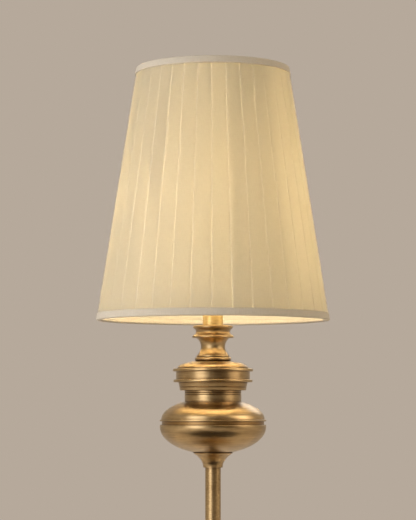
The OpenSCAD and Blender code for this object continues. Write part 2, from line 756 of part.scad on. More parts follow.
module socket_sleeve() color([0.35, 0.3, 0.24]) difference() {
    tube(sleeve_r, sleeve_r - sleeve_wall, sleeve_z, socket_top_z - 1);
    shaft_hole(shaft_r + loose_gap);
}

// Moulded core with a bearing for the switch shaft and a pocket for each terminal
module socket_core() color([0.12, 0.11, 0.1]) difference() {
    translate([0, 0, sleeve_z]) cylinder(r = core_r, h = core_top_z - sleeve_z);
    shaft_hole(shaft_r + run_gap);
    for (side = [-1, 1]) translate([side * core_r, 0, terminal_z]) cube(terminal_pocket, center = true);
}

module terminal_screws() color("goldenrod") for (side = [-1, 1])
    translate([side * (core_r - terminal_pocket / 2), 0, terminal_z])
        rotate([0, side * 90, 0]) cylinder(r = terminal_r, h = terminal_t);

module screw_shell() color([0.85, 0.85, 0.83]) {
    inner_r = screw_shell_r - screw_wall;
    turned([
        [screw_floor_r, core_top_z], [screw_shell_r, core_top_z, 0.4], [screw_shell_r, screw_top_z],
        [inner_r, screw_top_z], [inner_r, core_top_z + screw_wall], [screw_floor_r, core_top_z + screw_wall]
    ]);
}

module centre_tab() color("goldenrod") translate([0, 0, core_top_z]) cylinder(r = tab_r, h = tab_t);

module switch_shaft() color("goldenrod") towards_front(switch_z)
    translate([0, 0, shaft_root]) cylinder(r = shaft_r, h = shaft_end - shaft_root);

// Round neck with a flat finger key, bored for the shaft
module switch_key() color([0.1, 0.09, 0.08]) towards_front(switch_z) difference() {
    union() {
        translate([0, 0, key_start]) cylinder(r = key_neck_r, h = key_neck_len);
        intersection() {
            translate([0, 0, key_start + key_neck_len / 2])
                cylinder(r = key_r, h = key_len - key_neck_len / 2);
            translate([-key_t / 2, -key_r - cut_past, key_start])
                cube([key_t, 2 * (key_r + cut_past), key_len]);
            translate([-key_t, 0, key_start + key_len - key_round])
                rotate([0, 90, 0]) cylinder(r = key_round, h = 2 * key_t);
        }
    }
    translate([0, 0, key_start - cut_past])
        cylinder(r = shaft_r + key_press, h = shaft_end - key_start + cut_past);
}

// ---- Shade ----

// Radius of the shade's outermost cone at a height
function shade_r(z) = (shade_bottom_d + (shade_top_d - shade_bottom_d) * (z - shade_z) / shade_h) / 2;

// A conical layer that starts a depth inside the outermost cone
module shade_layer(depth, thickness, z0, z1) rotate_extrude() polygon([
    [shade_r(z0) - depth - thickness, z0], [shade_r(z0) - depth, z0],
    [shade_r(z1) - depth, z1], [shade_r(z1) - depth - thickness, z1]
]);

module shade_liner() color([0.96, 0.9, 0.78])
    shade_layer(liner_in, liner_t, shade_z + edge_in, shade_top_z - edge_in);

module shade_fabric() color([0.93, 0.86, 0.72])
    shade_layer(fabric_in, fabric_t, shade_z + edge_in, shade_top_z - edge_in);

// Centre line radius of a wire ring at a height
function ring_r(z) = shade_r(z) - ring_in;

module wire_ring(z, wire_r) rotate_extrude() translate([ring_r(z), z]) circle(r = wire_r);

module top_ring() color("whitesmoke") wire_ring(top_ring_z, ring_wire_r);
module bottom_ring() color("whitesmoke") wire_ring(bottom_ring_z, ring_wire_r);

module spider_hub() color("whitesmoke") difference() {
    translate([0, 0, hub_z]) cylinder(r = hub_r, h = hub_t);
    translate([0, 0, hub_z - cut_past]) cylinder(r = post_r + loose_gap, h = hub_t + 2 * cut_past);
}

// One arm: level from the hub, then rising to the top ring
module spider_arm(wire_r) {
    arm_z = hub_z + hub_t / 2;
    run = ring_r(top_ring_z) - arm_bend_r;
    rise = top_ring_z - arm_z;
    translate([hub_r, 0, arm_z]) rotate([0, 90, 0]) cylinder(r = wire_r, h = arm_bend_r - hub_r);
    translate([arm_bend_r, 0, arm_z]) sphere(r = wire_r);
    translate([arm_bend_r, 0, arm_z]) rotate([0, atan2(run, rise), 0])
        cylinder(r = wire_r, h = norm([run, rise]));
}

module spider_arms() color("whitesmoke") difference() {
    for (a = arm_angles) rotate([0, 0, a]) spider_arm(ring_wire_r);
    wire_ring(top_ring_z, ring_wire_r + slip_gap);
}

// U-shaped tape that folds over an edge: up is 1 at the bottom edge, -1 at the top
module edge_tape(edge_z, up) {
    leg_z = edge_z + up * tape_h;
    web_z = edge_z + up * tape_t;
    inner_z = edge_z + up * tape_leg_h;
    turned([
        [shade_r(edge_z), edge_z, 0.6], [shade_r(leg_z), leg_z, 0.3],
        [shade_r(leg_z) - tape_t, leg_z], [shade_r(web_z) - tape_t, web_z],
        [shade_r(web_z) - tape_leg_in, web_z], [shade_r(inner_z) - tape_leg_in, inner_z],
        [shade_r(inner_z) - tape_leg_in - tape_t, inner_z, 0.3],
        [shade_r(edge_z) - tape_leg_in - tape_t, edge_z, 0.6]
    ]);
}

module bottom_tape() color([0.9, 0.83, 0.68]) edge_tape(shade_z, 1);

// The inner leg is notched round each spider arm
module top_tape() color([0.9, 0.83, 0.68]) difference() {
    edge_tape(shade_top_z, -1);
    for (a = arm_angles) rotate([0, 0, a]) spider_arm(ring_wire_r + slip_gap);
}

module finial() color([0.74, 0.57, 0.3]) {
    z0 = hub_z + hub_t + rest_gap;
    bore_r = post_r + run_gap;
    ball_r = finial_d / 2;
    foot_z1 = z0 + finial_foot_h;
    bore_z = z0 + post_h + finial_bore_past;
    turned(concat(
        [[bore_r, z0], [finial_foot_r, z0, 0.6], [finial_foot_r, foot_z1, 0.6],
         [ball_r * cos(finial_neck_angle), foot_z1 + finial_step]],
        arc(0, z0 + finial_neck_h + ball_r, ball_r, ball_r, -finial_neck_angle, 90),
        [[0, bore_z], [bore_r, bore_z]]
    ));
}

// ---- Bulb ----

module bulb_glass() color([1, 0.96, 0.86]) {
    join_r = bulb_r * cos(glass_bend);
    join_z = globe_z - bulb_r * sin(glass_bend);
    lead = (join_z - glass_z) / neck_lead;
    neck = bezier(
        [glass_neck_r, glass_z], [glass_neck_r, glass_z + lead],
        [join_r - lead * sin(glass_bend), join_z - lead * cos(glass_bend)], [join_r, join_z]
    );
    globe = arc(0, globe_z, bulb_r, bulb_r, -globe_start, 90);
    inner_globe = arc(0, globe_z, bulb_r - glass_wall, bulb_r - glass_wall, 90, -globe_start);
    inner_neck = [for (p = reversed(neck)) [p.x - glass_wall, p.y]];
    turned(concat(neck, globe, inner_globe, inner_neck));
}

// Glass mount that holds the filament's supports
module bulb_mount() color([0.9, 0.92, 0.92]) {
    flange_r = glass_neck_r - glass_wall - slip_gap / 2;
    turned(concat(
        [[0, glass_z], [flange_r, glass_z], [flange_r, glass_z + 1]],
        reversed(trumpet(mount_r, glass_z + mount_foot_h, flange_r - 1, glass_z + 1.5, 2.5, 10)),
        [[mount_r, glass_z + mount_h, 1], [0, glass_z + mount_h]]
    ));
}

// Two supports and the filament that they stretch
module filament() color([0.9, 0.6, 0.2]) {
    lean = filament_reach - filament_foot;
    z0 = glass_z + mount_h + 2 * rest_gap;
    for (side = [-1, 1]) translate([side * filament_foot, 0, z0])
        rotate([0, side * atan2(lean, filament_rise), 0])
            cylinder(r = support_r, h = norm([lean, filament_rise]));
    translate([-filament_reach, 0, z0 + filament_rise])
        rotate([0, 90, 0]) cylinder(r = filament_r, h = 2 * filament_reach);
}

// Screw cap: rolled threads drawn as rings, since the bulb leaves along its axis
module bulb_cap() color([0.8, 0.8, 0.78]) {
    inner_r = bulb_cap_r - 2 * thread_depth - 0.5;
    crests = [for (i = [0:thread_steps]) let (z = thread_h * i / thread_steps)
        [bulb_cap_r - thread_depth * (1 + cos(360 * z / thread_pitch)), thread_z + z]];
    turned(concat(
        [[inner_r, thread_z]], crests,
        [[glass_neck_r, thread_z + thread_h + 0.5, 0.4], [glass_neck_r, glass_z], [inner_r, glass_z]]
    ));
}

module bulb_insulator() color([0.08, 0.08, 0.08]) turned([
    [0, bulb_z + pin_t], [tab_r + 0.5, bulb_z + pin_t, 0.4],
    [bulb_cap_r - 2 * thread_depth, thread_z], [0, thread_z]
]);

module bulb_contact() color("silver") translate([0, 0, bulb_z]) cylinder(r = tab_r, h = pin_t);

// ---- Assembly ----

felt_pad();
base_weight();
base_cover();
cord_bush();
base_washer();
base_nut();
foot_collar();
stem_tube();
threaded_rod();
flare();
flare_ring();
lower_bowl();
bowl_ring();
upper_bowl();
neck_band();
step_ring();
drum_band();
dome_cap();
neck_spool();
candle_cup();
candle_tube();
tube_cap();
harp_saddle();
lock_nut();
socket_cap();
cap_screw();
socket_shell();
socket_sleeve();
socket_core();
screw_shell();
centre_tab();
terminal_screws();
switch_shaft();
switch_key();
harp();
ferrule_left();
ferrule_right();
harp_stud();
spider_hub();
spider_arms();
top_ring();
bottom_ring();
shade_liner();
shade_fabric();
top_tape();
bottom_tape();
finial();
bulb_glass();
bulb_mount();
filament();
bulb_cap();
bulb_insulator();
bulb_contact();
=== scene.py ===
"""Looks for the pleated-shade table lamp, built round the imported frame.

Metres throughout, +Z up. The camera looks along +Y. The shade's cloth, lining and
edge bindings and the felt under the foot are new pieces. Every other visible
surface is a CAD node with a procedural material.
"""

import math

import bmesh
import bpy
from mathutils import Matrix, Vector


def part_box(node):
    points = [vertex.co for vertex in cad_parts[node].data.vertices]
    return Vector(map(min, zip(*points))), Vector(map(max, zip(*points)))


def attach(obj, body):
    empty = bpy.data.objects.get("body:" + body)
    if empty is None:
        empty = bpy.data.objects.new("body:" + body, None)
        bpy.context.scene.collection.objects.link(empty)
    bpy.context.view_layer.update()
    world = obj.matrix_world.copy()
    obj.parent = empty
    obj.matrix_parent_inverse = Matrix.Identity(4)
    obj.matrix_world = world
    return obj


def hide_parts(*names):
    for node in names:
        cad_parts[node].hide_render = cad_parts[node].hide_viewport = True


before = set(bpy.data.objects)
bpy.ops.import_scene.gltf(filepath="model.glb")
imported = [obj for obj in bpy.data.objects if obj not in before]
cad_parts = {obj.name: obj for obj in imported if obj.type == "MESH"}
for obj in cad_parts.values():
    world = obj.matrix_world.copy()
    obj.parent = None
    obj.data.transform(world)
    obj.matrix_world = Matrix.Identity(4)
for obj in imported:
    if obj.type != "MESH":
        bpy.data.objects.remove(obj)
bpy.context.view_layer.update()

MM = 0.001
TAU = 2 * math.pi
SHARP_FROM = math.radians(60)

# ---------------------------------------------------------------- camera

CAMERA_LENS = 138.46
CAMERA_AT = (-0.0053, -2.134, 0.257)
CAMERA_TILT = math.radians(4.23)

# ---------------------------------------------------------------- shade sizes

bottom_tape_low, bottom_tape_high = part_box("bottom_tape")
top_tape_low, top_tape_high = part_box("top_tape")
fabric_low, fabric_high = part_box("shade_fabric")
liner_low, liner_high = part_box("shade_liner")

SHADE_FOOT = bottom_tape_low.z
SHADE_TOP = top_tape_high.z
SHADE_SLOPE = (
    (bottom_tape_high.x - top_tape_high.x) / (top_tape_low.z - bottom_tape_low.z)
)


def shade_r(z):
    """Radius of the shade's outermost cone at height z."""
    return bottom_tape_high.x - SHADE_SLOPE * (z - SHADE_FOOT)


# Above half its height the shade is so narrow that real pleats overlap more
CROWD_FROM = SHADE_FOOT + 0.5 * (SHADE_TOP - SHADE_FOOT)

LINER_T = 0.35 * MM
LINER_INSIDE = shade_r(liner_low.z) - liner_high.x
LINER_ROOM = 0.8 * MM
LINER_LAP = 12 * MM

PLEATS = 36
PLEAT_PHASE = math.radians(-0.6)
PLEAT_GAP = 0.7 * MM
CLOTH_T = 0.2 * MM
CLOTH_ROOM = 1.6 * MM
CLOTH_OFF_LINING = 0.55 * MM
CLOTH_ROWS = 30

TAPE_T = 0.7 * MM
TAPE_OUTER_LEG = bottom_tape_high.z - bottom_tape_low.z
TAPE_INNER_LEG = 6 * MM
TAPE_ACROSS = 6.66 * MM
TAPE_ROOM = 0.8 * MM
TAPE_OUTER_BEND = 1.1 * MM
TAPE_INNER_BEND = 1.6 * MM
TAPE_RIPPLE = 0.10 * MM
TAPE_WAVE = 0.05 * MM
TAPE_WAVES = 7
RIPPLE_INWARDS = 2 * MM
RIPPLE_FROM_EDGE = 3 * MM
TAPE_COLUMNS = 216

# ---------------------------------------------------------------- mesh helpers


def linked(name, data):
    """A new object in the scene."""
    thing = bpy.data.objects.new(name, data)
    bpy.context.scene.collection.objects.link(thing)
    return thing


def new_piece(name, mesh, material, body):
    """Link a mesh as a piece that rides on a CAD body, with the given material."""
    piece = linked(name, mesh)
    piece.data.materials.append(material)
    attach(piece, body)
    return piece


def grid_faces(start, rows, columns, wrap_rows, wrap_columns):
    """Quads over a grid of vertices stored row by row from index start."""
    faces = []
    for row in range(rows if wrap_rows else rows - 1):
        for column in range(columns if wrap_columns else columns - 1):
            next_row = (row + 1) % rows
            next_column = (column + 1) % columns
            faces.append((
                start + row * columns + column,
                start + row * columns + next_column,
                start + next_row * columns + next_column,
                start + next_row * columns + column,
            ))
    return faces


def rim_faces(outer, inner, count, step, wrap):
    """Quads that join an open edge of the outer grid to the same edge of the inner one."""
    faces = []
    for index in range(count if wrap else count - 1):
        here = index * step
        there = (index + 1) % count * step
        faces.append((outer + here, outer + there, inner + there, inner + here))
    return faces


def closed_mesh(name, points, faces):
    """A mesh with its faces turned outwards, smooth but for its sharp edges."""
    mesh = bpy.data.meshes.new(name)
    mesh.from_pydata(points, [], faces)
    outward = bmesh.new()
    outward.from_mesh(mesh)
    bmesh.ops.recalc_face_normals(outward, faces=outward.faces)
    outward.to_mesh(mesh)
    outward.free()
    mesh.shade_smooth()
    mesh.set_sharp_from_angle(angle=SHARP_FROM)
    return mesh


def thin_mesh(name, outer, inner, wrap_rows, wrap_columns):
    """Closed thin sheet between two grids of points that have the same rows and columns."""
    rows = len(outer)
    columns = len(outer[0])
    count = rows * columns
    points = [point for row in outer + inner for point in row]
    faces = grid_faces(0, rows, columns, wrap_rows, wrap_columns)
    faces += grid_faces(count, rows, columns, wrap_rows, wrap_columns)
    if not wrap_rows:
        last = (rows - 1) * columns
        faces += rim_faces(0, count, columns, 1, wrap_columns)
        faces += rim_faces(last, count + last, columns, 1, wrap_columns)
    if not wrap_columns:
        last = columns - 1
        faces += rim_faces(0, count, rows, columns, wrap_rows)
        faces += rim_faces(last, count + last, rows, columns, wrap_rows)
    return closed_mesh(name, points, faces)


def offset_line(line, distance, closed):
    """A 2D line moved sideways, to the left of its own direction."""
    moved = []
    count = len(line)
    for index in range(count):
        before = line[index - 1] if closed or index else line[0]
        after = line[(index + 1) % count] if closed or index < count - 1 else line[-1]
        along_x = after[0] - before[0]
        along_y = after[1] - before[1]
        length = math.hypot(along_x, along_y)
        moved.append((
            line[index][0] - along_y / length * distance,
            line[index][1] + along_x / length * distance,
        ))
    return moved


def arc_points(centre, radius, start, end, steps):
    """Points on a 2D arc, angles in degrees, both ends included."""
    points = []
    for step in range(steps + 1):
        angle = math.radians(start + (end - start) * step / steps)
        points.append((
            centre[0] + radius * math.cos(angle),
            centre[1] + radius * math.sin(angle),
        ))
    return points


def polar(radius, angle, z):
    """A point at a radius and an angle round the lamp's axis."""
    return (radius * math.cos(angle), radius * math.sin(angle), z)


# ---------------------------------------------------------------- node helpers


def add(tree, kind, inputs=None, **settings):
    """Add a shader node, with its settings and its sockets set or linked."""
    node = tree.nodes.new("ShaderNode" + kind)
    for key, value in settings.items():
        setattr(node, key, value)
    for key, value in (inputs or {}).items():
        if isinstance(value, bpy.types.NodeSocket):
            tree.links.new(value, node.inputs[key])
        else:
            node.inputs[key].default_value = value
    return node


def new_material(name):
    """An empty node material with its output, as (material, tree, output)."""
    material = bpy.data.materials.new(name)
    material.use_nodes = True
    tree = material.node_tree
    tree.nodes.clear()
    return material, tree, add(tree, "OutputMaterial")


def principled(tree, output, inputs):
    """Give a material one Principled shader with these inputs."""
    shader = add(tree, "BsdfPrincipled", inputs)
    tree.links.new(shader.outputs[0], output.inputs["Surface"])


def math_node(tree, operation, first, second=0.0):
    """One Math node's result."""
    return add(tree, "Math", {0: first, 1: second}, operation=operation).outputs[0]


def weighted(tree, first, first_share, second, second_share):
    """The sum of two values, each times its share."""
    first_part = math_node(tree, "MULTIPLY", first, first_share)
    second_part = math_node(tree, "MULTIPLY", second, second_share)
    return math_node(tree, "ADD", first_part, second_part)


def ramp(tree, factor, stops):
    """Colour ramp from (position, linear colour) stops."""
    node = add(tree, "ValToRGB", {"Fac": factor})
    elements = node.color_ramp.elements
    while len(elements) < len(stops):
        elements.new(0.5)
    for element, (position, colour) in zip(elements, stops):
        element.position = position
        element.color = (*colour, 1.0)
    return node.outputs["Color"]


def span(tree, value, low, high):
    """Map a value from 0..1 to low..high."""
    inputs = {"Value": value, "To Min": low, "To Max": high}
    return add(tree, "MapRange", inputs).outputs["Result"]


def noise(tree, vector, scale, detail=3.0, roughness=0.55):
    """Fractal noise from 0 to 1, with the scale in cells per metre."""
    inputs = {"Vector": vector, "Scale": scale, "Detail": detail, "Roughness": roughness}
    return add(tree, "TexNoise", inputs).outputs["Fac"]


def place(tree):
    """The surface point in the part's own frame."""
    return add(tree, "TexCoord").outputs["Object"]


def round_axis(tree):
    """(radius, angle, height) of the surface point about the lamp's axis, as sockets."""
    split = add(tree, "SeparateXYZ", {"Vector": place(tree)})
    x, y, z = split.outputs
    flat = add(tree, "CombineXYZ", {"X": x, "Y": y})
    radius = add(tree, "VectorMath", {0: flat.outputs[0]}, operation="LENGTH").outputs["Value"]
    angle = math_node(tree, "ARCTAN2", y, x)
    return radius, angle, z


def bump(tree, height, strength, distance):
    """A normal tilted by a height field, with the distance in metres."""
    inputs = {"Height": height, "Strength": strength, "Distance": distance}
    return add(tree, "Bump", inputs).outputs["Normal"]


# ---------------------------------------------------------------- metals

# Texture sizes in cells per metre, reaches and reliefs in metres
FINE_RINGS = 3200.0
COARSE_RINGS = 620.0
RING_DRIFT = 0.0035
BRASS_CLOUD = 38.0
# How far painted shade reaches into grooves and corners of turned brass
BRASS_SHADE_REACH = 7 * MM
BRASS_RELIEF = 0.25 * MM
BRASS_WEAR = 0.16
DRAWN_GRAIN = 900.0
DRAWN_CLOUD = 70.0
# How far painted shade reaches into grooves and corners of drawn metal
DRAWN_SHADE_REACH = 4 * MM
DRAWN_RELIEF = 0.2 * MM
DRAWN_WEAR = 0.2
MOULD_CLOUD_SHARE = 12
MOULD_WEAR = 0.08


def painted_recess_shade(tree, reach):
    """Painted shade as a factor: 1 on open surfaces, less in grooves, corners and where parts
    meet.
    """
    return add(tree, "AmbientOcclusion", {"Distance": reach}, samples=6).outputs["AO"]


def brass(name, dark, middle, bright, gloss):
    """Satin brass, turned on a lathe: fine broken rings, and painted shade that browns its grooves
    and corners and leaves open faces and edges lighter.
    """
    material, tree, output = new_material(name)
    radius, angle, z = round_axis(tree)
    drift = math_node(tree, "MULTIPLY", angle, RING_DRIFT)
    along = add(tree, "CombineXYZ", {"X": radius, "Y": z, "Z": drift}).outputs[0]
    fine = noise(tree, along, FINE_RINGS, 2.0)
    rings = noise(tree, along, COARSE_RINGS, 3.0)
    cloud = noise(tree, place(tree), BRASS_CLOUD, 4.0, 0.6)
    # Painted shade darkens the tone in grooves and corners
    unshaded = painted_recess_shade(tree, BRASS_SHADE_REACH)
    tone = weighted(tree, rings, 0.55, cloud, 0.45)
    tone = math_node(tree, "MULTIPLY", tone, unshaded)
    colour = ramp(tree, tone, [(0.1, dark), (0.38, middle), (0.62, bright)])
    relief = math_node(tree, "ADD", math_node(tree, "MULTIPLY", fine, 0.35), rings)
    wear = weighted(tree, fine, 0.5, cloud, 0.5)
    principled(tree, output, {
        "Base Color": colour,
        "Metallic": 1.0,
        "Roughness": span(tree, wear, gloss, gloss + BRASS_WEAR),
        "Anisotropic": 0.45,
        "Coat Weight": 0.5,
        "Coat Roughness": 0.28,
        "Normal": bump(tree, relief, 0.3, BRASS_RELIEF),
    })
    return material


def plain_metal(name, dark, bright, gloss):
    """Drawn or stamped metal with fine scratches and a cloudy tarnish, darkened by painted shade
    in grooves and corners.
    """
    material, tree, output = new_material(name)
    here = place(tree)
    scratches = noise(tree, here, DRAWN_GRAIN, 4.0, 0.7)
    cloud = noise(tree, here, DRAWN_CLOUD, 4.0, 0.6)
    # The tarnish cloud, darkened by painted shade in grooves and corners
    tone = math_node(tree, "MULTIPLY", cloud, painted_recess_shade(tree, DRAWN_SHADE_REACH))
    principled(tree, output, {
        "Base Color": ramp(tree, tone, [(0.15, dark), (0.6, bright)]),
        "Metallic": 1.0,
        "Roughness": span(tree, scratches, gloss, gloss + DRAWN_WEAR),
        "Normal": bump(tree, scratches, 0.15, DRAWN_RELIEF),
    })
    return material


def moulded(name, dark, bright, roughness, grain, depth):
    """Non-metal with a fine grain: rubber, phenolic, cast iron paint, paper."""
    material, tree, output = new_material(name)
    here = place(tree)
    texture = noise(tree, here, grain, 5.0, 0.65)
    cloud = noise(tree, here, grain / MOULD_CLOUD_SHARE, 3.0)
    principled(tree, output, {
        "Base Color": ramp(tree, cloud, [(0.3, dark), (0.7, bright)]),
        "Roughness": span(tree, texture, roughness - MOULD_WEAR, roughness + MOULD_WEAR),
        "Normal": bump(tree, texture, 0.5, depth),
    })
    return material


# ---------------------------------------------------------------- cloth and glass

AROUND_R = 0.12
SLUB_STRETCH = 8.0
PICK_STRETCH = 10.0
SLUB_SCALE = 160.0
PICK_SCALE = 120.0
CLOTH_RELIEF = 0.12 * MM
FIBRE_SCALE = 1400.0
MAT_SCALE = 160.0
FELT_RELIEF = 0.6 * MM
OPAL_CLOUD = 45.0
OPAL_GRAIN = 500.0
SEED_SCALE = 300.0
HEAT_SCALE = 400.0


def threads(tree, pitch, twill=0.0):
    """Woven height field and its slubs: warp threads run up the shade, weft threads round it."""
    _, angle, z = round_axis(tree)
    around = math_node(tree, "MULTIPLY", angle, AROUND_R)
    slant = math_node(tree, "MULTIPLY", z, twill)
    warp_at = math_node(tree, "ADD", around, slant)
    warp = math_node(tree, "SINE", math_node(tree, "MULTIPLY", warp_at, TAU / pitch))
    weft = math_node(tree, "SINE", math_node(tree, "MULTIPLY", z, TAU / pitch))
    weave = math_node(tree, "MULTIPLY", warp, weft)
    wide = math_node(tree, "MULTIPLY", around, SLUB_STRETCH)
    slub_at = add(tree, "CombineXYZ", {"X": wide, "Y": z}).outputs[0]
    tall = math_node(tree, "MULTIPLY", z, PICK_STRETCH)
    pick_at = add(tree, "CombineXYZ", {"X": around, "Y": tall}).outputs[0]
    slubs = noise(tree, slub_at, SLUB_SCALE, 4.0, 0.6)
    picks = noise(tree, pick_at, PICK_SCALE, 4.0, 0.6)
    return weave, weighted(tree, slubs, 0.6, picks, 0.4)


def cloth(name, dark, bright, through, share, pitch, twill=0.0, crowded=1.0):
    """Woven cloth that scatters light on its face and lets a share of it through.

    A crowded value under 1 makes it pass that much of the light at the shade's top edge.
    """
    material, tree, output = new_material(name)
    weave, slubs = threads(tree, pitch, twill)
    relief = math_node(tree, "ADD", math_node(tree, "MULTIPLY", weave, 0.5), slubs)
    normal = bump(tree, relief, 0.35, CLOTH_RELIEF)
    face = add(tree, "BsdfPrincipled", {
        "Base Color": ramp(tree, slubs, [(0.35, dark), (0.62, bright)]),
        "Roughness": 0.88,
        "Sheen Weight": 0.25,
        "Specular IOR Level": 0.2,
        "Normal": normal,
    })
    passed = ramp(tree, slubs, [(0.3, tuple(0.93 * c for c in through)), (0.62, through)])
    if crowded < 1:
        thinning = add(tree, "MapRange", {
            "Value": round_axis(tree)[2],
            "From Min": CROWD_FROM, "From Max": SHADE_TOP,
            "To Min": 1.0, "To Max": crowded,
        }).outputs["Result"]
        thinned = add(tree, "VectorMath", {0: passed, "Scale": thinning}, operation="SCALE")
        passed = thinned.outputs[0]
    glow = add(tree, "BsdfTranslucent", {"Color": passed, "Normal": normal})
    mix = add(tree, "MixShader", {"Fac": share, 1: face.outputs[0], 2: glow.outputs[0]})
    tree.links.new(mix.outputs[0], output.inputs["Surface"])
    return material


def felt_material(name):
    """Pressed wool felt: matted fibres with a soft nap."""
    material, tree, output = new_material(name)
    here = place(tree)
    fibres = noise(tree, here, FIBRE_SCALE, 6.0, 0.75)
    mats = noise(tree, here, MAT_SCALE, 5.0, 0.6)
    principled(tree, output, {
        "Base Color": ramp(tree, mats, [
            (0.3, (0.012, 0.03, 0.018)), (0.7, (0.03, 0.07, 0.042)),
        ]),
        "Roughness": span(tree, fibres, 0.88, 1.0),
        "Sheen Weight": 0.5,
        "Sheen Roughness": 0.5,
        "Normal": bump(tree, math_node(tree, "ADD", fibres, mats), 0.7, FELT_RELIEF),
    })
    return material


def lit_glass(name):
    """Opal glass with the lamp burning in it, faintly cloudy."""
    material, tree, output = new_material(name)
    cloud = noise(tree, place(tree), OPAL_CLOUD, 3.0)
    principled(tree, output, {
        "Base Color": ramp(tree, cloud, [
            (0.3, (0.86, 0.8, 0.7)), (0.7, (0.95, 0.91, 0.83)),
        ]),
        "Roughness": span(tree, cloud, 0.2, 0.3),
        "Emission Color": (1.0, 0.72, 0.42, 1.0),
        "Emission Strength": 2.2,
        "Normal": bump(tree, noise(tree, place(tree), OPAL_GRAIN), 0.05, 0.1 * MM),
    })
    return material


def clear_glass(name, tint, roughness):
    """Clear glass with faint seeds in it."""
    material, tree, output = new_material(name)
    seeds = noise(tree, place(tree), SEED_SCALE, 2.0)
    principled(tree, output, {
        "Base Color": tint,
        "Roughness": span(tree, seeds, roughness, roughness + 0.05),
        "Transmission Weight": 0.8,
        "IOR": 1.5,
        "Normal": bump(tree, seeds, 0.1, 0.2 * MM),
    })
    return material


def hot_wire(name):
    """The filament: an even glow over an unevenly coloured wire."""
    material, tree, output = new_material(name)
    heat = noise(tree, place(tree), HEAT_SCALE, 2.0)
    principled(tree, output, {
        "Base Color": ramp(tree, heat, [(0.3, (0.5, 0.28, 0.1)), (0.7, (0.8, 0.5, 0.2))]),
        "Metallic": 1.0,
        "Roughness": 0.4,
        "Emission Color": (1.0, 0.55, 0.2, 1.0),
        "Emission Strength": 12.0,
    })
    return material


# Dark, middle and bright colours, then gloss
satin_brass = brass(
    "satin_brass", (0.12, 0.062, 0.022), (0.35, 0.228, 0.1), (0.55, 0.395, 0.2), 0.23,
)
dark_brass = brass(
    "dark_brass", (0.10, 0.05, 0.015), (0.30, 0.17, 0.055), (0.45, 0.28, 0.10), 0.32,
)
# The candle tube's brass is far brighter than the rest: painted light for the glow it catches
# under the lit shade
lit_tube_brass = brass(
    "lit_tube_brass", (0.5, 0.34, 0.12), (0.8, 0.58, 0.24), (0.95, 0.74, 0.38), 0.26,
)
bright_brass = brass(
    "bright_brass", (0.28, 0.15, 0.04), (0.60, 0.38, 0.13), (0.78, 0.53, 0.22), 0.2,
)
# Dark and bright colours, then gloss
steel = plain_metal("zinc_steel", (0.22, 0.21, 0.20), (0.55, 0.54, 0.52), 0.3)
aluminium = plain_metal("spun_aluminium", (0.5, 0.5, 0.5), (0.82, 0.82, 0.81), 0.25)
# Dark and bright colours, roughness, grain in cells per metre and relief
white_wire = moulded(
    "painted_wire", (0.62, 0.60, 0.55), (0.74, 0.72, 0.67), 0.42, 700.0, 0.1 * MM,
)
cast_iron = moulded(
    "cast_iron", (0.018, 0.017, 0.016), (0.05, 0.047, 0.044), 0.7, 420.0, 0.6 * MM,
)
rubber = moulded(
    "black_rubber", (0.012, 0.012, 0.012), (0.03, 0.029, 0.028), 0.62, 900.0, 0.1 * MM,
)
sleeve_paper = moulded(
    "sleeve_paper", (0.24, 0.14, 0.07), (0.36, 0.23, 0.12), 0.85, 800.0, 0.1 * MM,
)
phenolic = moulded(
    "moulded_core", (0.02, 0.014, 0.011), (0.045, 0.03, 0.023), 0.36, 500.0, 0.06 * MM,
)
black_glass = moulded(
    "black_glass", (0.008, 0.008, 0.01), (0.02, 0.02, 0.024), 0.2, 300.0, 0.05 * MM,
)
bulb_opal = lit_glass("opal_glass")
mount_glass = clear_glass("mount_glass", (0.9, 0.93, 0.92, 1.0), 0.04)
glowing_wire = hot_wire("glowing_wire")
felt_nap = felt_material("green_felt")
# Dark, bright and passed colours, share of light passed and thread pitch
pleat_cloth = cloth(
    "pleated_cotton", (0.84, 0.82, 0.77), (0.91, 0.89, 0.85), (0.97, 0.96, 0.93),
    0.92, 0.55 * MM, crowded=0.94,
)
lining_cloth = cloth(
    "lining_cloth", (0.70, 0.67, 0.59), (0.77, 0.74, 0.67), (0.97, 0.94, 0.86),
    0.62, 0.8 * MM,
)
tape_cloth = cloth(
    "edge_tape_cotton", (0.58, 0.53, 0.44), (0.68, 0.63, 0.54), (0.62, 0.52, 0.38),
    0.25, 0.7 * MM, twill=0.9,
)

NODE_MATERIALS = {
    satin_brass: [
        "base_cover", "foot_collar", "stem_tube", "flare",
        "lower_bowl", "upper_bowl", "neck_band", "step_ring", "drum_band", "dome_cap",
        "neck_spool", "candle_cup", "tube_cap", "socket_cap", "socket_shell",
        "ferrule_left", "ferrule_right", "harp", "harp_saddle", "harp_stud",
        "spider_hub", "finial",
    ],
    # The candle tube takes the brass with painted light
    lit_tube_brass: ["candle_tube"],
    dark_brass: ["flare_ring", "bowl_ring", "lock_nut"],
    bright_brass: ["screw_shell", "centre_tab", "terminal_screws", "switch_shaft", "bulb_contact"],
    steel: ["threaded_rod", "base_washer", "base_nut", "cap_screw"],
    aluminium: ["bulb_cap"],
    white_wire: ["spider_arms", "top_ring", "bottom_ring"],
    cast_iron: ["base_weight"],
    rubber: ["cord_bush"],
    sleeve_paper: ["socket_sleeve"],
    phenolic: ["socket_core", "switch_key"],
    black_glass: ["bulb_insulator"],
    bulb_opal: ["bulb_glass"],
    mount_glass: ["bulb_mount"],
    glowing_wire: ["filament"],
}
for material, names in NODE_MATERIALS.items():
    for name in names:
        for material_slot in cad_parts[name].material_slots:
            material_slot.material = material

# ---------------------------------------------------------------- pleated cloth

